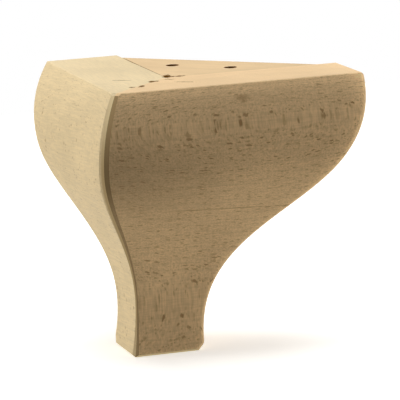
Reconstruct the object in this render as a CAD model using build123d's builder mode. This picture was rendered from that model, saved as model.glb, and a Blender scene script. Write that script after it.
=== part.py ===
"""Corner bracket leg for a sofa or cabinet, in solid beech.

Two thick boards with an ogee moulding meet in a mitre at the front corner. A triangular block
with two screw holes is glued behind them, flush with the top.

The leg stands upright, +Z up. X runs along the right board and Y along the left one. The origin
is midway between the screw holes, on the top face that meets the furniture.
"""
import os
from math import sqrt

from build123d import *

# Leg and boards, in millimetres
leg_height = 140.0
board_length = 136.0
board_inset = 39.75

# Ogee moulding of the outer faces, measured from the outer top edge. Each rise or fullness is
# a share of the height that its curve spans
belly_depth = 39.75
belly_proud = 11.75
belly_fullness = 0.315
ankle_height = 28.25
ankle_inset = 9.25
ankle_fullness = 0.425
foot_inset = 5.5

# Ogee outline of the board ends
shoulder_fullness = 0.4925
heel_fullness = 0.535
foot_length = 45.25
heel_bevel_height = 3.25
heel_bevel_length = 3.25
heel_rounding = 4.0

# Flat planed along the mitred front corner: its depth below the sharp corner
arris_at_top = 2.0
arris_at_belly = 3.0
arris_rise = 0.52
arris_at_ankle = 0.8
arris_at_foot = 2.0

# Eased edges
end_rounding = 2.5
end_top_break = 1.75
top_edge_break = 0.5
foot_edge_break = 1.5
corner_break = 1.25

# Corner block and screw holes
block_leg = 84.0
block_thickness = 30.0
block_corner_flat = 4.0
screw_hole_diameter = 7.0
screw_spacing = 35.0
screw_setback = 68.0

# Places that follow from the sizes
corner = -screw_setback
inner_face = corner + board_inset
board_end = corner + board_length
floor = -leg_height
belly_level = -belly_depth
ankle_level = floor + ankle_height
ankle_fall = belly_level - ankle_level
heel_level = floor + heel_bevel_height
outermost = corner - belly_proud
rough_end = outermost - belly_proud
mitre = Plane(origin=(0, 0, 0), x_dir=(1, 1, 0), z_dir=(1, -1, 0))


def below_belly(belly, ankle, foot):
    """Draw an ogee from the full belly down to the floor, over a hollow ankle and a flared foot."""
    Bezier(
        (belly, belly_level),
        (belly, belly_level - belly_fullness * ankle_fall),
        (ankle, ankle_level + ankle_fullness * ankle_fall),
        (ankle, ankle_level),
    )
    TangentArc((ankle, ankle_level), (foot, floor), tangent=(0, -1))


def along_mitre(setback, arris):
    """Place along the mitre of the flat's edge, where the outer faces stand back by setback."""
    return sqrt(2) * (corner + setback) + arris


def plane_off(across, *corners):
    """Plane an edge of a board: cut the waste between three corners, drawn across the edge."""
    with BuildSketch(across) as waste:
        with BuildLine():
            Polyline(*corners, close=True)
        make_face()
    extrude(waste.sketch, amount=board_length, both=True, mode=Mode.SUBTRACT)


# Right board: the moulding runs along it and its end is sawn to the bracket outline
with BuildPart() as right_bracket:
    with BuildSketch(Plane.YZ.offset(rough_end)) as moulding:
        with BuildLine():
            TangentArc((outermost, belly_level), (corner, 0), tangent=(0, 1))
            below_belly(outermost, corner + ankle_inset, corner + foot_inset)
            Polyline(
                (corner + foot_inset, floor),
                (inner_face, floor),
                (inner_face, 0),
                (corner, 0),
            )
        make_face()
    extrude(amount=board_end - rough_end)

    with BuildSketch(Plane.XZ) as bracket_outline:
        with BuildLine():
            heel = (corner + foot_length, heel_level)
            Bezier(
                (board_end, 0),
                (board_end, shoulder_fullness * heel_level),
                (heel[0], (1 - heel_fullness) * heel_level),
                heel,
            )
            Polyline(
                heel,
                (heel[0] - heel_bevel_length, floor),
                (rough_end, floor),
                (rough_end, 0),
                (board_end, 0),
            )
        make_face()
        heel_corner = bracket_outline.vertices().sort_by_distance(heel)[0]
        fillet(heel_corner, radius=heel_rounding)
    extrude(amount=screw_setback + belly_proud, both=True, mode=Mode.INTERSECT)

    end_faces = right_bracket.faces().filter_by(lambda face: face.normal_at().X > 0.01)
    fillet(end_faces.edges().filter_by(Axis.Y, reverse=True), radius=end_rounding)

    plane_off(
        Plane.YZ,
        (corner - top_edge_break, 0),
        (corner + top_edge_break, 0),
        (corner - top_edge_break, -top_edge_break),
    )
    plane_off(
        Plane.YZ,
        (corner + foot_inset, floor + foot_edge_break),
        (corner + foot_inset, floor),
        (corner + foot_inset + foot_edge_break, floor),
    )
    plane_off(
        Plane.XZ,
        (board_end, 0),
        (board_end - end_top_break, 0),
        (board_end, -end_top_break),
    )

    split(bisect_by=mitre, keep=Keep.TOP)

    with BuildSketch(mitre) as arris_waste:
        with BuildLine():
            arris_belly = along_mitre(-belly_proud, arris_at_belly)
            Bezier(
                (arris_belly, belly_level),
                (arris_belly, belly_level + arris_rise * belly_depth),
                (along_mitre(0, arris_at_top), 0),
            )
            below_belly(
                arris_belly,
                along_mitre(ankle_inset, arris_at_ankle),
                along_mitre(foot_inset, arris_at_foot),
            )
            Polyline(
                (along_mitre(foot_inset, arris_at_foot), floor),
                (along_mitre(-2 * belly_proud, 0), floor),
                (along_mitre(-2 * belly_proud, 0), 0),
                (along_mitre(0, arris_at_top), 0),
            )
        make_face()
    extrude(amount=board_inset, both=True, mode=Mode.SUBTRACT)

    corner_top = along_mitre(0, arris_at_top)
    plane_off(
        mitre,
        (corner_top + corner_break, 0),
        (corner_top - 2 * corner_break, 0),
        (corner_top - 2 * corner_break, -1.5 * corner_break),
    )

right_bracket.part.label = "right_bracket"

# Left board: the right one's mirror image in the mitre
with BuildPart() as left_bracket:
    mirror(right_bracket.part, about=mitre)

left_bracket.part.label = "left_bracket"

# Triangular block in the inner corner, with its right angle flattened to seat on the boards
with BuildPart() as corner_block:
    with BuildSketch(Plane.XY) as block_outline:
        with BuildLine():
            Polyline(
                (inner_face, inner_face),
                (inner_face + block_leg, inner_face),
                (inner_face, inner_face + block_leg),
                close=True,
            )
        make_face()
        right_angle = block_outline.vertices().sort_by_distance((inner_face, inner_face))[0]
        chamfer(right_angle, length=block_corner_flat)
    extrude(amount=-block_thickness)
    with PolarLocations(screw_spacing / 2, 2, start_angle=-45):
        Hole(radius=screw_hole_diameter / 2)

corner_block.part.label = "corner_block"

os.makedirs("parts", exist_ok=True)
export_step(right_bracket.part, "parts/right_bracket.step")
export_step(left_bracket.part, "parts/left_bracket.step")
export_step(corner_block.part, "parts/corner_block.step")
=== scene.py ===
"""Corner bracket leg in raw beech: the finish of its solids, a plain studio and the camera."""

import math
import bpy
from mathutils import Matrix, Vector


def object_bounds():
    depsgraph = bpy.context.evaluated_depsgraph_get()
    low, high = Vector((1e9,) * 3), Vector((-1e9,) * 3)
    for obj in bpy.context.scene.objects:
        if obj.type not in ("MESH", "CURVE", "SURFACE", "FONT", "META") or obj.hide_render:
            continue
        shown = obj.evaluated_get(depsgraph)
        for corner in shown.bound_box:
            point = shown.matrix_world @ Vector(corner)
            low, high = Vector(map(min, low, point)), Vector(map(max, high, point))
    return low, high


bl_info = {
    "name": "Corner Bracket Leg",
    "version": (1, 0, 0),
    "blender": (4, 5, 0),
    "location": "3D View > Sidebar > Bracket Leg",
    "description": "Finishes a mitred corner leg in raw beech and sets it in a plain studio",
    "category": "Object",
}

from functools import partial
from types import SimpleNamespace

import bmesh
import bpy
from mathutils import Matrix, Vector

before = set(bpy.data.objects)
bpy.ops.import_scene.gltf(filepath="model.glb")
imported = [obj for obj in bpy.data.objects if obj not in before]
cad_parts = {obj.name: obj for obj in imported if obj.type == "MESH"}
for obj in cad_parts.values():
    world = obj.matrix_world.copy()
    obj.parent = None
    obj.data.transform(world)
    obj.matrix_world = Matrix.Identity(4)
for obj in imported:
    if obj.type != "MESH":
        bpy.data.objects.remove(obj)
cad_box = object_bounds()

MM = 0.001
WHITE = (1.0, 1.0, 1.0, 1.0)

# Settings of nodes that come up often. A Mix node has a pair of sockets for numbers and another
# for colours
SMOOTH = {"interpolation_type": "SMOOTHSTEP"}
COLOUR_MIX = {"data_type": "RGBA", "output": 2}
FACTOR = 0
NUMBER_A = 2
NUMBER_B = 3
COLOUR_A = 6
COLOUR_B = 7


def linear(hex_colour):
    """Turn an sRGB hex colour into the linear colour that a shader takes."""
    channels = [int(hex_colour[i : i + 2], 16) / 255 for i in (1, 3, 5)]
    return [c / 12.92 if c <= 0.04045 else ((c + 0.055) / 1.055) ** 2.4 for c in channels]


def opaque(colour):
    """Add full alpha to a linear colour."""
    return [*colour, 1]


def metres(*lengths):
    """Turn lengths in mm into metres."""
    return [length * MM for length in lengths]


def repeats(*sizes):
    """Pattern scale that gives features of these sizes, in mm."""
    return [1 / (size * MM) for size in sizes]


def add_node(tree, kind, inputs=(), output=0, **settings):
    """Add a shader node with its settings, set or link its inputs, and return one output."""
    node = tree.nodes.new("ShaderNode" + kind)
    for name, value in settings.items():
        setattr(node, name, value)
    sockets = inputs.items() if isinstance(inputs, dict) else enumerate(inputs)
    for socket, value in sockets:
        if isinstance(value, bpy.types.NodeSocket):
            tree.links.new(value, node.inputs[socket])
        else:
            node.inputs[socket].default_value = value
    return node.outputs[output] if node.outputs else None


def new_material(name):
    """Make an empty material, and return it with the call that adds nodes to it."""
    material = bpy.data.materials.new(name)
    material.use_nodes = True
    material.node_tree.nodes.clear()
    return material, partial(add_node, material.node_tree)


class BeechSettings(bpy.types.PropertyGroup):
    """Colours and figure of the beech."""

    left_colour: bpy.props.FloatVectorProperty(
        name="Left board",
        description="Colour of the left board's long grain",
        subtype="COLOR",
        default=linear("#E0CCA4"),
    )
    right_colour: bpy.props.FloatVectorProperty(
        name="Right board",
        description="Colour of the right board's long grain, a little warmer",
        subtype="COLOR",
        default=linear("#E6C697"),
    )
    block_colour: bpy.props.FloatVectorProperty(
        name="Block",
        description="Colour of the corner block",
        subtype="COLOR",
        default=linear("#DCBF94"),
    )
    ray_colour: bpy.props.FloatVectorProperty(
        name="Rays",
        description="Colour of the ray flecks",
        subtype="COLOR",
        default=linear("#8E6C44"),
    )
    end_colour: bpy.props.FloatVectorProperty(
        name="End grain",
        description="Colour of the sawn board ends",
        subtype="COLOR",
        default=linear("#D4B98F"),
    )
    # Dark glue lines, and painted shade in the open gaps and chips on top
    glue_and_gap_shade_colour: bpy.props.FloatVectorProperty(
        name="Open joint",
        description="Colour of glue and dust in the joints on top",
        subtype="COLOR",
        default=linear("#603E08"),
    )
    ray_length: bpy.props.FloatProperty(
        name="Ray length",
        description="Length of a large ray along the grain",
        unit="LENGTH",
        default=4.0 * MM,
    )
    ray_thickness: bpy.props.FloatProperty(
        name="Ray thickness",
        description="Thickness of a large ray",
        unit="LENGTH",
        default=0.2 * MM,
    )
    ray_reach: bpy.props.FloatProperty(
        name="Ray reach",
        description="How far a large ray runs through the wood, across the grain",
        unit="LENGTH",
        default=14.0 * MM,
    )
    ring_spacing: bpy.props.FloatProperty(
        name="Ring spacing",
        description="Distance between growth rings",
        unit="LENGTH",
        default=5.0 * MM,
    )
    roughness: bpy.props.FloatProperty(
        name="Roughness",
        description="Roughness of the sanded, unfinished surface",
        subtype="FACTOR",
        min=0.0,
        max=1.0,
        default=0.62,
    )


class StudioSettings(bpy.types.PropertyGroup):
    """Floor and light of the studio."""

    floor_colour: bpy.props.FloatVectorProperty(
        name="Floor",
        description="Colour of the floor as the camera sees it",
        subtype="COLOR",
        default=linear("#F4F4F2"),
    )
    key_power: bpy.props.FloatProperty(
        name="Key",
        description="Power of the soft box on the left",
        unit="POWER",
        default=25.0,
    )
    top_power: bpy.props.FloatProperty(
        name="Top",
        description="Power of the soft box overhead",
        unit="POWER",
        default=33.5,
    )
    fill_power: bpy.props.FloatProperty(
        name="Fill",
        description="Power of the small soft box on the right",
        unit="POWER",
        default=5.6,
    )
    room_light: bpy.props.FloatProperty(
        name="Room light",
        description="Even light from the room all round",
        subtype="FACTOR",
        min=0.0,
        max=1.0,
        default=0.03,
    )


class BracketLegSettings(bpy.types.PropertyGroup):
    """All settings of the corner leg."""

    beech: bpy.props.PointerProperty(
        name="Beech",
        description="Colours and figure of the wood",
        type=BeechSettings,
    )
    studio: bpy.props.PointerProperty(
        name="Studio",
        description="Floor and light",
        type=StudioSettings,
    )


def oval_reach(node, place, middle, half_size, turn=0.0):
    """Distance from the middle of an oval, as a share of its half size, given in mm."""
    oval = node(
        "Mapping",
        {
            "Vector": place,
            "Location": metres(*middle),
            "Rotation": (0, 0, math.radians(turn)),
            "Scale": metres(*half_size),
        },
        vector_type="TEXTURE",
    )
    return node("VectorMath", [oval], output="Value", operation="LENGTH")


# Grain of the beech, in mm: over what distance it wanders and how far, how much it bows, the
# radius on which the way round the pith is measured, and the size and depth of its raggedness.
# Sets of three sizes run along the grain, round the pith and out from it
WANDER_SIZE = 25.0
WANDER = 1.2
BOW_PER_METRE = 0.4
PITH_CIRCLE = 100.0
RAGGED_SIZES = (1.5, 0.7, 40.0)
RAGGED = 0.2


def lay_out_grain(wood, to_board, pith, bow_middle, seed, climb=0.0):
    """Find each place in a board's own directions, and in its grain round and out from the pith.

    The pith's place across and up, the middle of the bow and the seed are in mm. The seed shifts
    the figure along the board, so that each board shows other wood. The grain climbs by a share
    of the way along.
    """
    node = wood.node
    wood.place = node("TexCoord", output="Object")
    wood.board = node("Mapping", {"Vector": wood.place, **to_board})
    wood.along, wood.across, wood.height = node("SeparateXYZ", [wood.board]).node.outputs
    normal = node("NewGeometry", output="Normal")
    turned = node("Mapping", {"Vector": normal, **to_board}, vector_type="NORMAL")
    wood.faces_along, _, wood.faces_up = node("SeparateXYZ", [turned]).node.outputs

    seeded = node("Math", [wood.along, seed * MM], operation="ADD")
    wood.seeded = node("CombineXYZ", [seeded, wood.across, wood.height])
    drawn_out = node("CombineXYZ", [seeded])
    wood.wander = node(
        "TexNoise", {"Vector": drawn_out, "Scale": 1 / (WANDER_SIZE * MM), "Detail": 2.0}
    )
    from_middle = node("Math", [wood.along, bow_middle * MM], operation="SUBTRACT")
    squared = node("Math", [from_middle, from_middle], operation="MULTIPLY")
    wood.bow = node("Math", [squared, BOW_PER_METRE], operation="MULTIPLY")

    pith_across, pith_height = metres(*pith)
    sideways = node("Math", [wood.across, pith_across], operation="SUBTRACT")
    down = node("Math", [pith_height, wood.height], operation="SUBTRACT")
    down = node("Math", [wood.along, climb, down], operation="MULTIPLY_ADD")
    angle = node("Math", [sideways, down], operation="ARCTAN2")
    from_pith = node("CombineXYZ", [sideways, down])
    wood.out = node("VectorMath", [from_pith], output="Value", operation="LENGTH")
    round_pith = node("Math", [angle, PITH_CIRCLE * MM, wood.bow], operation="MULTIPLY_ADD")
    round_pith = node("Math", [wood.wander, WANDER * MM, round_pith], operation="MULTIPLY_ADD")
    even = node("CombineXYZ", [seeded, round_pith, wood.out])
    stretched = node("Mapping", {"Vector": even, "Scale": repeats(*RAGGED_SIZES)})
    wood.ragged = node("TexNoise", {"Vector": stretched, "Scale": 1.0, "Detail": 1.0})
    round_pith = node("Math", [wood.ragged, RAGGED * MM, round_pith], operation="MULTIPLY_ADD")
    wood.grain = node("CombineXYZ", [seeded, round_pith, wood.out])


# Planed top: how far a face has to point up to count as the top, and how much calmer it is
TOP_FACING = (0.9, 0.98)
TOP_CALM = 0.75


def find_top(wood):
    """Find the planed top, where the figure is calmer."""
    node = wood.node
    wood.top = node("MapRange", [wood.faces_up, *TOP_FACING, 0.0, 1.0], **SMOOTH)
    wood.calm = node("Math", [wood.top, TOP_CALM], operation="MULTIPLY")
    wood.lively = node("Math", [1.0, wood.calm], operation="SUBTRACT")


# Growth rings, in mm: over what distance their width changes, how much, and how far they wander
UNEVEN_SIZE = 12.0
UNEVEN = 12.0
RING_WANDER = 5.0


def grow_rings(wood):
    """Grow rings of uneven width: each place lies from 0 to 1 through its ring."""
    node = wood.node
    outwards = node("CombineXYZ", {"Z": wood.out})
    uneven = node("TexNoise", {"Vector": outwards, "Scale": 1 / (UNEVEN_SIZE * MM)})
    ring = node("Math", [wood.out, wood.bow], operation="ADD")
    ring = node("Math", [wood.wander, RING_WANDER * MM, ring], operation="MULTIPLY_ADD")
    ring = node("Math", [uneven, UNEVEN * MM, ring], operation="MULTIPLY_ADD")
    ring = node("Math", [ring, wood.beech.ring_spacing], operation="DIVIDE")
    wood.ring = node("Math", [ring], operation="FRACT")


# Plain wood: sizes in mm as for the grain, and tones as shares of the plain colour. Real fibres
# are finer than the picture can show, so these are a little coarser. The tones of a noise spread
# over the middle of its range, and the hatch changes the tone by these shares in a full figure
FIBRE_SIZES = (14.0, 0.45, 0.9)
HATCH_SIZES = (0.9, 0.28, 14.0)
PATCH_SIZE = 45.0
NOISE_WIDE = (0.2, 0.8)
NOISE_NARROW = (0.3, 0.7)
FIBRE_TONES = (0.9, 1.08)
HATCH_CHANGES = (-0.11, 0.07)
PATCH_TONES = (0.95, 1.04)
LATE_IN_RING = (0.5, 1.0)
RING_TONES = (1.0, 0.965)


def plain_tones(wood, figure):
    """Tones of the plain wood: fibres, the hatch of the finest rays, slow patches and rings."""
    node = wood.node
    stretched = node("Mapping", {"Vector": wood.grain, "Scale": repeats(*FIBRE_SIZES)})
    wood.fibre = node(
        "TexNoise", {"Vector": stretched, "Scale": 1.0, "Detail": 2.0, "Roughness": 0.6}
    )
    stretched = node("Mapping", {"Vector": wood.grain, "Scale": repeats(*HATCH_SIZES)})
    hatch = node("TexNoise", {"Vector": stretched, "Scale": 1.0, "Detail": 1.0})
    hatch_tones = [1 + change * figure for change in HATCH_CHANGES]
    hatch = node("MapRange", [hatch, *NOISE_NARROW, *hatch_tones], **SMOOTH)
    patch = node(
        "TexNoise", {"Vector": wood.seeded, "Scale": 1 / (PATCH_SIZE * MM), "Detail": 2.0}
    )
    return [
        node("MapRange", [wood.fibre, *NOISE_WIDE, *FIBRE_TONES], **SMOOTH),
        node("Mix", {FACTOR: wood.calm, NUMBER_A: hatch, NUMBER_B: 1.0}),
        node("MapRange", [patch, *NOISE_NARROW, *PATCH_TONES], **SMOOTH),
        node("MapRange", [wood.ring, *LATE_IN_RING, *RING_TONES], **SMOOTH),
    ]


# Shades: the tone of a darker patch, the painted highlight under the top edge and the painted
# light beside the end. Heights and places are in mm, and facings say how far a face points up or
# along the board. A board's end outline is an S from the top to the heel, given by the heights
# and places of its two ends. The painted light beside it spreads over this reach, and below these
# heights only a share of that is left
DARK_PATCH_TONE = 0.76
EDGE_HEIGHTS = (-8.0, -1.0)
EDGE_FACING = (0.75, 0.95)
END_HEIGHTS = (0.0, -136.75)
END_PLACES = (68.0, -22.75)
PALE_REACH = 26.0
PALE_FALL = 4.0
PALE_ABOVE = (-105.0, -88.0)
PALE_BELOW = 0.2
PALE_FACING = (0.1, 0.5)


def dark_patch_shade(wood, middle, half_size):
    """Darker tone about a middle, fading out at its half size, both in mm."""
    from_patch = oval_reach(wood.node, wood.board, middle, half_size)
    return wood.node("MapRange", [from_patch, 0.0, 1.0, DARK_PATCH_TONE, 1.0], **SMOOTH)


def painted_edge_highlight(wood, gain):
    """Painted highlight just under the top edge, paler by the gain, as on a rounded edge."""
    node = wood.node
    near_top = node("MapRange", [wood.height, *metres(*EDGE_HEIGHTS), 0.0, 1.0], **SMOOTH)
    beside_top = node("MapRange", [wood.faces_up, *EDGE_FACING, gain, 0.0], **SMOOTH)
    return node("Math", [near_top, beside_top, 1.0], operation="MULTIPLY_ADD")


def painted_end_light(wood, gain):
    """Painted light beside the sawn end, paler by the gain, as light from the right would give.
    """
    node = wood.node
    ends = metres(*END_HEIGHTS, *END_PLACES)
    outline = node("MapRange", [wood.height, *ends], interpolation_type="SMOOTHERSTEP")
    inside = node("Math", [outline, wood.along], operation="SUBTRACT")
    near_end = node("MapRange", [inside, 0.0, PALE_REACH * MM, 1.0, 0.0])
    near_end = node("Math", [near_end, PALE_FALL], operation="POWER")
    raised = node("MapRange", [wood.height, *metres(*PALE_ABOVE), PALE_BELOW, 1.0], **SMOOTH)
    near_end = node("Math", [near_end, raised], operation="MULTIPLY")
    near_end = node("Math", [near_end, wood.lively], operation="MULTIPLY")
    beside_end = node("MapRange", [wood.faces_along, *PALE_FACING, gain, 0.0], **SMOOTH)
    return node("Math", [near_end, beside_end, 1.0], operation="MULTIPLY_ADD")


# Rays: the half size of one in its cell, where it fades as shares of that half, and the sets of
# rays, as shares of a large ray's length, thickness, reach and rarity. The small rays have a
# rarity of their own
RAY_HALF = 0.38
RAY_FADES = (0.6, 1.1)
LARGE_RAYS = ((1.0, 1.0, 1.0, 1.0), (0.65, 0.85, 0.7, 0.9))
SMALL_RAYS = (0.3, 0.55, 0.7)
SMALL_RARITY = 1.5
SMALL_STRENGTH = 0.5


def ray_mask(wood, sizes, rarity):
    """Mask of rays: thin spindles that run out through the wood, most of them faint."""
    node = wood.node
    scale = [2 * RAY_HALF / size for size in sizes]
    fades = [RAY_HALF * share for share in RAY_FADES]
    cells = node("Mapping", {"Vector": wood.grain, "Scale": scale})
    distance = node("TexVoronoi", {"Vector": cells, "Scale": 1.0}, output="Distance")
    core = node("MapRange", [distance, *fades, 1.0, 0.0], **SMOOTH)
    chance = node("SeparateColor", [distance.node.outputs["Color"]])
    strength = node("Math", [chance, rarity], operation="POWER")
    return node("Math", [core, strength], operation="MULTIPLY")


def ray_layers(wood, figure, strength, rarity, depth):
    """Small rays, as strong as the figure, and large ones with a strength of their own.

    The higher the rarity, the fewer large rays are strong. Their depth is a share of the reach.
    """
    node = wood.node
    beech = wood.beech
    ray = (beech.ray_length, beech.ray_thickness, beech.ray_reach)
    wood.large_rays = 0.0
    for long, thick, deep, rare in LARGE_RAYS:
        sizes = [share * size for share, size in zip((long, thick, deep * depth), ray)]
        rays = ray_mask(wood, sizes, rare * rarity)
        wood.large_rays = node("Math", [rays, wood.large_rays], operation="MAXIMUM")
    sizes = [share * size for share, size in zip(SMALL_RAYS, ray)]
    small_rays = ray_mask(wood, sizes, SMALL_RARITY)
    layers = []
    for rays, shown in ((small_rays, SMALL_STRENGTH * figure), (wood.large_rays, strength)):
        rays = node("Math", [rays, wood.lively], operation="MULTIPLY")
        mask = node("Math", [rays, shown], operation="MULTIPLY")
        layers.append((mask, opaque(beech.ray_colour)))
    return layers


# Knot and dark ring line, with how much they cover. The knot's edge is in shares of its half
# size. The line fades at these half widths and begins between these places, in mm, and breaks
# where the grain wanders
KNOT_RAGGED = 1.2
KNOT_FADES = (0.8, 1.9)
KNOT_COVER = 0.48
LINE_FADES = (0.1, 0.35)
LINE_BEGINS = (-54.0, -36.0)
LINE_BREAKS = (0.4, 0.6)
LINE_COVERS = (0.25, 0.65)


def knot(wood, middle, half_size):
    """A small dark knot with a ragged edge, its middle and half size in mm."""
    node = wood.node
    from_knot = oval_reach(node, wood.board, middle, half_size)
    edge = node("Math", [wood.ragged, KNOT_RAGGED, from_knot], operation="MULTIPLY_ADD")
    mask = node("MapRange", [edge, *KNOT_FADES, KNOT_COVER, 0.0], **SMOOTH)
    return mask, opaque(wood.beech.ray_colour)


def ring_line(wood, out, drift, middle):
    """One dark ring line: its distance from the pith at its middle in mm, and its drift."""
    node = wood.node
    beyond = node("Math", [wood.along, middle * MM], operation="SUBTRACT")
    line_out = node("Math", [beyond, drift, out * MM], operation="MULTIPLY_ADD")
    off = node("Math", [wood.out, line_out], operation="SUBTRACT")
    off = node("Math", [off], operation="ABSOLUTE")
    line = node("MapRange", [off, *metres(*LINE_FADES), 1.0, 0.0], **SMOOTH)
    begun = node("MapRange", [wood.along, *metres(*LINE_BEGINS), 0.0, 1.0], **SMOOTH)
    broken = node("MapRange", [wood.wander, *LINE_BREAKS, *LINE_COVERS], **SMOOTH)
    line = node("Math", [line, begun], operation="MULTIPLY")
    mask = node("Math", [line, broken], operation="MULTIPLY")
    return mask, opaque(wood.beech.ray_colour)


# End grain: the lines' sizes in mm as for the grain, again a little coarse, and tones as shares
# of the end colour
END_LINE_SIZES = (math.inf, 1.1, 16.0)
END_LINE_TONES = (0.9, 1.08)
BAND_IN_RING = (0.4, 1.0)
BAND_TONES = (1.05, 0.88)
END_FACING = (0.35, 0.75)
END_COVER = 0.8


def end_grain(wood):
    """End grain on the sawn ends, where the rings show as bands and the rays as fine lines."""
    node = wood.node
    stretched = node("Mapping", {"Vector": wood.grain, "Scale": repeats(*END_LINE_SIZES)})
    lines = node("TexNoise", {"Vector": stretched, "Scale": 1.0, "Detail": 2.0})
    lines = node("MapRange", [lines, *NOISE_NARROW, *END_LINE_TONES], **SMOOTH)
    bands = node("MapRange", [wood.ring, *BAND_IN_RING, *BAND_TONES], **SMOOTH)
    tone = node("Math", [bands, lines], operation="MULTIPLY")
    end_colour = list(wood.beech.end_colour)
    colour = node("VectorMath", {0: end_colour, "Scale": tone}, operation="SCALE")
    mask = node("MapRange", [wood.faces_along, *END_FACING, 0.0, END_COVER], **SMOOTH)
    return mask, colour


# Flat along the mitre and bevel of the foot: heights in mm, how far a face has to point back
# along the board, or down, to count as one of them, and the colour of the painted light on the
# bevel
FLAT_HEIGHTS = (-8.0, -40.0)
FLAT_FACING = (-0.4, -0.55)
FLAT_COVER = 0.92
BEVEL_HEIGHTS = (-137.4, -138.2)
BEVEL_FACING = (-0.3, -0.6)
BEVEL_LIGHT_COLOUR = "#EAD5A4"


def planed_flat(wood, colours, wear, left_over, edge=None):
    """The flat planed along the mitre, darker than the faces, most of all at the belly.

    It has one colour at the top and another from the belly down. Between the two heights of the
    wear, in mm, it wears down to what is left over. With an edge, in mm, it fades into the face
    where its places along and across the board come to differ so much.
    """
    node = wood.node
    top_colour, belly_colour = [opaque(linear(colour)) for colour in colours]
    fade = node("MapRange", [wood.height, *metres(*FLAT_HEIGHTS), 0.0, 1.0], **SMOOTH)
    blend = {FACTOR: fade, COLOUR_A: top_colour, COLOUR_B: belly_colour}
    colour = node("Mix", blend, **COLOUR_MIX)
    mask = node("MapRange", [wood.faces_along, *FLAT_FACING, 0.0, FLAT_COVER], **SMOOTH)
    worn = node("MapRange", [wood.height, *metres(*wear), 1.0, left_over], **SMOOTH)
    mask = node("Math", [mask, worn], operation="MULTIPLY")
    if edge:
        beside = node("Math", [wood.along, wood.across], operation="SUBTRACT")
        beside = node("Math", [beside], operation="ABSOLUTE")
        soft = node("MapRange", [beside, *metres(*edge), 1.0, 0.0], **SMOOTH)
        mask = node("Math", [mask, soft], operation="MULTIPLY")
    return mask, colour


def painted_bevel_light(wood):
    """The bevel round the foot, painted paler as if lit by light from the floor."""
    node = wood.node
    low = node("MapRange", [wood.height, *metres(*BEVEL_HEIGHTS), 0.0, 1.0], **SMOOTH)
    bevel = node("MapRange", [wood.faces_up, *BEVEL_FACING, 0.0, 1.0], **SMOOTH)
    mask = node("Math", [low, bevel], operation="MULTIPLY")
    return mask, opaque(linear(BEVEL_LIGHT_COLOUR))


# Screw holes, in mm: how far each lies from the origin, and how far round it its walls can lie.
# A wall hardly points up or down. The walls get a painted shade, dark as inside a deep hole
HOLE_PLACE = 17.5
HOLE_REACH = 4.0
WALL_FACING = (0.5, 0.2)
HOLE_WALL_SHADE = "#84501A"


def shaded_hole_walls(wood):
    """Painted shade on the walls of the screw holes, dark as inside a deep hole."""
    node = wood.node
    beside = node("Math", [wood.along], operation="ABSOLUTE")
    beside = node("Math", [beside, HOLE_PLACE * MM], operation="SUBTRACT")
    from_hole = node("CombineXYZ", [beside, wood.across])
    from_hole = node("VectorMath", [from_hole], output="Value", operation="LENGTH")
    hole = node("Math", [from_hole, HOLE_REACH * MM], operation="LESS_THAN")
    upright = node("Math", [wood.faces_up], operation="ABSOLUTE")
    wall = node("MapRange", [upright, *WALL_FACING, 0.0, 1.0], **SMOOTH)
    mask = node("Math", [hole, wall], operation="MULTIPLY")
    return mask, opaque(linear(HOLE_WALL_SHADE))


# Marks on the planed top, where the joints aren't quite closed: dark glue lines, and painted
# shade in the open gaps and chips. The place of the middle, half length and half width in mm,
# and the turn in degrees
GLUE_AND_GAP_SHADE_MARKS = {
    "seam of left board and block": (-28.25, 38.0, 18.0, 0.35, 90.0),
    "inner corner": (-26.6, -24.4, 5.2, 2.4, 70.0),
    "gap beside the inner corner": (-24.2, -26.8, 2.6, 1.4, 0.0),
    "end of that gap": (-20.4, -27.2, 3.0, 1.9, 0.0),
    "chip in the mitre": (-38.9, -37.8, 3.0, 1.7, 70.0),
    "tail of that chip": (-36.9, -37.4, 2.2, 1.3, -30.0),
    "chip near the outer corner": (-48.0, -50.6, 3.6, 1.3, 55.0),
    "small chip near the outer corner": (-53.4, -51.2, 1.8, 1.2, 0.0),
}
FAINT_MARKS = {
    "thin end of the seam": (-28.25, 4.0, 34.0, 0.35, 90.0),
    "line below the inner corner": (-28.5, -35.2, 3.0, 1.1, -30.0),
    "line on the left board": (-51.6, -24.8, 5.4, 0.9, -34.0),
    "line on the right board": (-24.0, -48.2, 5.8, 0.9, -36.0),
}

# How much a faint mark covers, the marks' depth and the size of their ragged edge in mm, and how
# ragged it is and where it fades, in shares of the half size
FAINT_COVER = 0.7
MARK_DEPTH = 0.6
MARK_RAGGED_SIZE = 1.4
MARK_RAGGED = 2.2
MARK_FADES = (1.75, 2.25)


def mark_mask(wood, marks):
    """Mask of a few small ragged marks on the top face."""
    node = wood.node
    scale = 1 / (MARK_RAGGED_SIZE * MM)
    ragged = node("TexNoise", {"Vector": wood.place, "Scale": scale, "Detail": 2.0})
    total = 0.0
    for x, y, half_length, half_width, turn in marks.values():
        half_size = (half_length, half_width, MARK_DEPTH)
        reach = oval_reach(node, wood.place, (x, y, 0), half_size, turn)
        edge = node("Math", [ragged, MARK_RAGGED, reach], operation="MULTIPLY_ADD")
        mark = node("MapRange", [edge, *MARK_FADES, 1.0, 0.0], **SMOOTH)
        total = node("Math", [mark, total], operation="MAXIMUM")
    return total


def glue_and_gap_shade_layers(wood):
    """Dark glue lines and painted shade in open gaps and chips on the planed top, faint ones
    first.
    """
    colour = opaque(wood.beech.glue_and_gap_shade_colour)
    faint = mark_mask(wood, FAINT_MARKS)
    faint = wood.node("Math", [faint, FAINT_COVER], operation="MULTIPLY")
    wood.open_joints = mark_mask(wood, GLUE_AND_GAP_SHADE_MARKS)
    return [(faint, colour), (wood.open_joints, colour)]


# Surface of the wood, with the height of its fibres in mm
FINE_BUMP = 0.12
BUMP_STRENGTH = 0.25
RAY_RELIEF = -0.6
ROUGHNESS_SPREAD = 0.06
SPECULAR_LEVEL = 0.1


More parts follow.
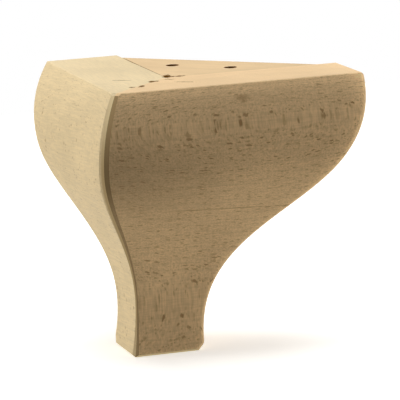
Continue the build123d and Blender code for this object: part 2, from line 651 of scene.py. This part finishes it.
def raw_beech(
    name,
    beech,
    colour,
    to_board,
    grain,
    figure,
    flecks,
    top_light_tint=None,
    shades=(),
    features=(),
):
    """Raw beech, planed and sanded: pale and close-grained, with brown ray flecks.

    The rays are thin ribbons that fan out from the pith. Where a moulded face runs along them
    they show as tall bars, and where it crosses them they shorten to dashes, so the figure
    follows the moulding. Grain holds what lay_out_grain takes, and flecks what ray_layers takes.
    Shades change the tone of the plain wood. Features lie over it in their order, each as a mask
    and a colour.
    """
    material, node = new_material(name)
    wood = SimpleNamespace(node=node, beech=beech)
    lay_out_grain(wood, to_board, **grain)
    find_top(wood)
    grow_rings(wood)

    tones = plain_tones(wood, figure) + [shade(wood) for shade in shades]
    tone = 1.0
    for share in tones:
        tone = node("Math", [share, tone], operation="MULTIPLY")
    side = opaque(colour)
    # The top's own colour is a painted tint of the light from above
    planed = opaque(linear(top_light_tint)) if top_light_tint else side
    shown = node("Mix", {FACTOR: wood.top, COLOUR_A: side, COLOUR_B: planed}, **COLOUR_MIX)
    shown = node("VectorMath", {0: shown, "Scale": tone}, operation="SCALE")

    layers = ray_layers(wood, figure, **flecks)
    layers += [feature(wood) for feature in features]
    layers += glue_and_gap_shade_layers(wood)
    for mask, cover in layers:
        shown = node("Mix", {FACTOR: mask, COLOUR_A: shown, COLOUR_B: cover}, **COLOUR_MIX)

    # Sanded fibres stand up a little and large rays lie a little lower. The open joints, full of
    # glue and torn fibres, have no shine, and nor has the painted shade in their gaps
    smoothest = beech.roughness - ROUGHNESS_SPREAD
    roughest = beech.roughness + ROUGHNESS_SPREAD
    rough = node("MapRange", [wood.fibre, *NOISE_WIDE, smoothest, roughest], **SMOOTH)
    rough = node("Math", [rough, wood.open_joints], operation="MAXIMUM")
    relief = node("Math", [wood.large_rays, RAY_RELIEF, wood.fibre], operation="MULTIPLY_ADD")
    bump = node("Bump", {"Height": relief, "Strength": BUMP_STRENGTH, "Distance": FINE_BUMP * MM})
    surface = node(
        "BsdfPrincipled",
        {
            "Base Color": shown,
            "Roughness": rough,
            "Specular IOR Level": SPECULAR_LEVEL,
            "Normal": bump,
        },
    )
    node("OutputMaterial", {"Surface": surface})
    return material


# How the part's directions turn into those of each piece: along it, across it and up
AS_IT_LIES = {"Scale": (1, 1, 1)}
MIRRORED = {"Scale": (-1, 1, 1), "Rotation": (0, 0, math.radians(-90))}
ASLANT = {"Rotation": (0, 0, math.radians(45))}


def right_beech(beech):
    """Wood of the right board: lively, with a darker patch, a knot and a dark ring line."""
    return raw_beech(
        "raw_beech_right",
        beech,
        beech.right_colour,
        AS_IT_LIES,
        grain={"pith": (-58.75, 43.3), "bow_middle": 4, "seed": 0},
        figure=1.0,
        flecks={"strength": 0.85, "rarity": 5.5, "depth": 1.0},
        # Painted tint of the light from above on the top
        top_light_tint="#E6C79B",
        shades=(
            partial(dark_patch_shade, middle=(-68, -76, -42), half_size=(76, 200, 31)),
            # Painted highlight under the top edge, and painted light beside the sawn end
            partial(painted_edge_highlight, gain=0.2),
            partial(painted_end_light, gain=0.5),
        ),
        features=(
            partial(knot, middle=(-0.5, -72, -7.0), half_size=(4.7, 20, 2.0)),
            partial(ring_line, out=107.9, drift=0.042, middle=-17),
            end_grain,
            partial(planed_flat, colours=("#957E58", "#6E5B3C"), wear=(-46, -62), left_over=0.83),
            # Painted light on the bevel round the foot
            painted_bevel_light,
        ),
    )


def left_beech(beech):
    """Wood of the left board: cooler and calmer, with a flat that fades into its face."""
    return raw_beech(
        "raw_beech_left",
        beech,
        beech.left_colour,
        MIRRORED,
        grain={"pith": (-64, 90), "bow_middle": -25, "seed": 410, "climb": -0.07},
        figure=0.22,
        flecks={"strength": 0.5, "rarity": 9.0, "depth": 0.25},
        features=(
            end_grain,
            partial(
                planed_flat,
                colours=("#E2CEA2", "#B89F74"),
                wear=(-112, -138),
                left_over=0.45,
                edge=(1.4, 3.4),
            ),
            # Painted light on the bevel round the foot
            painted_bevel_light,
        ),
    )


def block_beech(beech):
    """Wood of the corner block, whose grain runs along its long side."""
    return raw_beech(
        "raw_beech_block",
        beech,
        beech.block_colour,
        ASLANT,
        grain={"pith": (30, 120), "bow_middle": 0, "seed": 830},
        figure=0.3,
        flecks={"strength": 0.25, "rarity": 5.5, "depth": 1.0},
        # Painted shade on the walls of the screw holes
        features=(end_grain, shaded_hole_walls),
    )


def dress(node_name, material):
    """Give a CAD node its material."""
    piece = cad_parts[node_name]
    piece.data.materials.clear()
    piece.data.materials.append(material)


class BRACKETLEG_OT_boards(bpy.types.Operator):
    """Finish the two mitred boards in raw beech"""

    bl_idname = "bracket_leg.boards"
    bl_label = "Finish Boards"

    def execute(self, context):
        beech = context.scene.bracket_leg.beech
        dress("right_bracket", right_beech(beech))
        dress("left_bracket", left_beech(beech))
        return {"FINISHED"}


class BRACKETLEG_OT_block(bpy.types.Operator):
    """Finish the triangular corner block in raw beech"""

    bl_idname = "bracket_leg.block"
    bl_label = "Finish Corner Block"

    def execute(self, context):
        beech = context.scene.bracket_leg.beech
        dress("corner_block", block_beech(beech))
        return {"FINISHED"}


# Camera, in mm and degrees: it looks at the point aim from this far away
AIM = (-45.69, -138.00, -45.20)
DISTANCE = 1588.0
AZIMUTH = 16.85
ELEVATION = 10.72
ROLL = -2.45
LENS = 289.87
SENSOR = 36.0


def camera_matrix():
    """Place of the camera: it looks at the aim, rolled a little."""
    azimuth = math.radians(AZIMUTH)
    elevation = math.radians(ELEVATION)
    roll = math.radians(ROLL)
    back = Vector(
        (
            -math.sin(azimuth) * math.cos(elevation),
            -math.cos(azimuth) * math.cos(elevation),
            math.sin(elevation),
        )
    )
    level = (-back).cross(Vector((0, 0, 1))).normalized()
    upright = level.cross(-back)
    right = math.cos(roll) * level + math.sin(roll) * upright
    up = -math.sin(roll) * level + math.cos(roll) * upright
    turned = Matrix((right, up, back)).transposed().to_4x4()
    return Matrix.Translation((Vector(AIM) + DISTANCE * back) * MM) @ turned


def set_camera(scene):
    """Set up the camera, with colours shown as they are."""
    lens = bpy.data.cameras.new("camera")
    lens.lens = LENS
    lens.sensor_width = SENSOR
    camera = bpy.data.objects.new("camera", lens)
    camera.matrix_world = camera_matrix()
    scene.collection.objects.link(camera)
    scene.camera = camera
    scene.view_settings.view_transform = "Standard"


def direct_sight(node):
    """One for a ray that the camera sees, straight or by reflection, and nought for others."""
    rays = node("LightPath").node.outputs
    seen = node("Math", [rays["Is Camera Ray"], rays["Is Glossy Ray"]], operation="MAXIMUM")
    return node("Math", [seen, rays["Is Transmission Ray"]], operation="MAXIMUM")


# Floor: its half size and its gap under the foot in mm, the colour and strength of the glow of
# its own that lights the leg from below in place of a bounce, and the light of its own that keeps
# it white to the camera
FLOOR_HALF = 750.0
FLOOR_GAP = 0.2
FLOOR_GLOW = (1.0, 0.96, 0.89, 1.0)
FLOOR_GLOW_STRENGTH = 0.54
FLOOR_LIFT = 0.5


def lay_floor(scene, studio, foot_height):
    """Lay a floor that is white to the camera, with the leg's shadow.

    To the leg it is not a reflector but a glow of its own, even and dimmer than a white floor's
    bounce, so that the moulding keeps its shade.
    """
    shape = bmesh.new()
    bmesh.ops.create_grid(shape, x_segments=1, y_segments=1, size=FLOOR_HALF * MM)
    bmesh.ops.translate(shape, verts=shape.verts, vec=(0, 0, foot_height - FLOOR_GAP * MM))
    mesh = bpy.data.meshes.new("floor")
    shape.to_mesh(mesh)
    shape.free()
    floor = bpy.data.objects.new("floor", mesh)
    scene.collection.objects.link(floor)
    material, node = new_material("pale_floor")
    white = node("BsdfDiffuse", {"Color": opaque(studio.floor_colour)})
    lift = node("Emission", {"Color": WHITE, "Strength": FLOOR_LIFT})
    bright = node("AddShader", [white, lift])
    # A glow that lights the leg like a lamp, standing in for the floor's bounce light, unshadowed
    glow = node("Emission", {"Color": FLOOR_GLOW, "Strength": FLOOR_GLOW_STRENGTH})
    surface = node("MixShader", [direct_sight(node), glow, bright])
    node("OutputMaterial", {"Surface": surface})
    mesh.materials.append(material)


def light_room(scene, studio):
    """Light the room: dim to the leg, white to the camera."""
    world = bpy.data.worlds.new("studio_room")
    scene.world = world
    world.use_nodes = True
    world.node_tree.nodes.clear()
    node = partial(add_node, world.node_tree)
    strength = node("MapRange", [direct_sight(node), 0.0, 1.0, studio.room_light, 1.0])
    room = node("Background", {"Color": WHITE, "Strength": strength})
    node("OutputWorld", {"Surface": room})


# Soft boxes: the direction from the leg, the distance and size in metres, and the colour
KEY_BOX = {"direction": (-0.94, 0.20, 0.26), "distance": 2.0, "size": 1.2, "colour": "#FFF9EE"}
TOP_BOX = {"direction": (0.05, 0.26, 0.96), "distance": 1.8, "size": 1.5, "colour": "#FFFFFF"}
FILL_BOX = {"direction": (0.97, -0.22, -0.04), "distance": 0.7, "size": 0.5, "colour": "#FFF6EA"}


def soft_box(scene, name, target, power, direction, distance, size, colour):
    """Hang a square soft box that shines at the target."""
    lamp = bpy.data.lights.new(name, "AREA")
    lamp.shape = "SQUARE"
    lamp.size = size
    lamp.energy = power
    lamp.color = linear(colour)
    holder = bpy.data.objects.new(name, lamp)
    away = Vector(direction).normalized()
    facing = away.to_track_quat("Z", "Y").to_matrix().to_4x4()
    holder.matrix_world = Matrix.Translation(target + distance * away) @ facing
    scene.collection.objects.link(holder)


class BRACKETLEG_OT_stage(bpy.types.Operator):
    """Build the pale floor, the soft light and the camera"""

    bl_idname = "bracket_leg.stage"
    bl_label = "Build Studio"

    def execute(self, context):
        scene = context.scene
        studio = scene.bracket_leg.studio
        low, high = cad_box
        middle = (low + high) / 2
        lay_floor(scene, studio, low.z)
        light_room(scene, studio)
        soft_box(scene, "key_light", middle, studio.key_power, **KEY_BOX)
        soft_box(scene, "top_light", middle, studio.top_power, **TOP_BOX)
        soft_box(scene, "fill_light", middle, studio.fill_power, **FILL_BOX)
        set_camera(scene)
        return {"FINISHED"}


class BRACKETLEG_PT_sidebar(bpy.types.Panel):
    """Steps and settings of the corner leg"""

    bl_idname = "BRACKETLEG_PT_sidebar"
    bl_label = "Corner Bracket Leg"
    bl_space_type = "VIEW_3D"
    bl_region_type = "UI"
    bl_category = "Bracket Leg"

    def draw(self, context):
        settings = context.scene.bracket_leg
        for operator in OPERATORS:
            self.layout.operator(operator.bl_idname)
        for group in (settings.beech, settings.studio):
            box = self.layout.box()
            for name in group.__annotations__:
                box.prop(group, name)


OPERATORS = (BRACKETLEG_OT_boards, BRACKETLEG_OT_block, BRACKETLEG_OT_stage)
CLASSES = (BeechSettings, StudioSettings, BracketLegSettings, *OPERATORS, BRACKETLEG_PT_sidebar)


def register():
    for cls in CLASSES:
        bpy.utils.register_class(cls)
    bpy.types.Scene.bracket_leg = bpy.props.PointerProperty(
        name="Bracket leg",
        description="Settings of the corner leg",
        type=BracketLegSettings,
    )


def unregister():
    del bpy.types.Scene.bracket_leg
    for cls in reversed(CLASSES):
        bpy.utils.unregister_class(cls)


def main():
    """Run every step in order."""
    register()
    bpy.ops.bracket_leg.boards()
    bpy.ops.bracket_leg.block()
    bpy.ops.bracket_leg.stage()


if __name__ == "__main__":
    main()
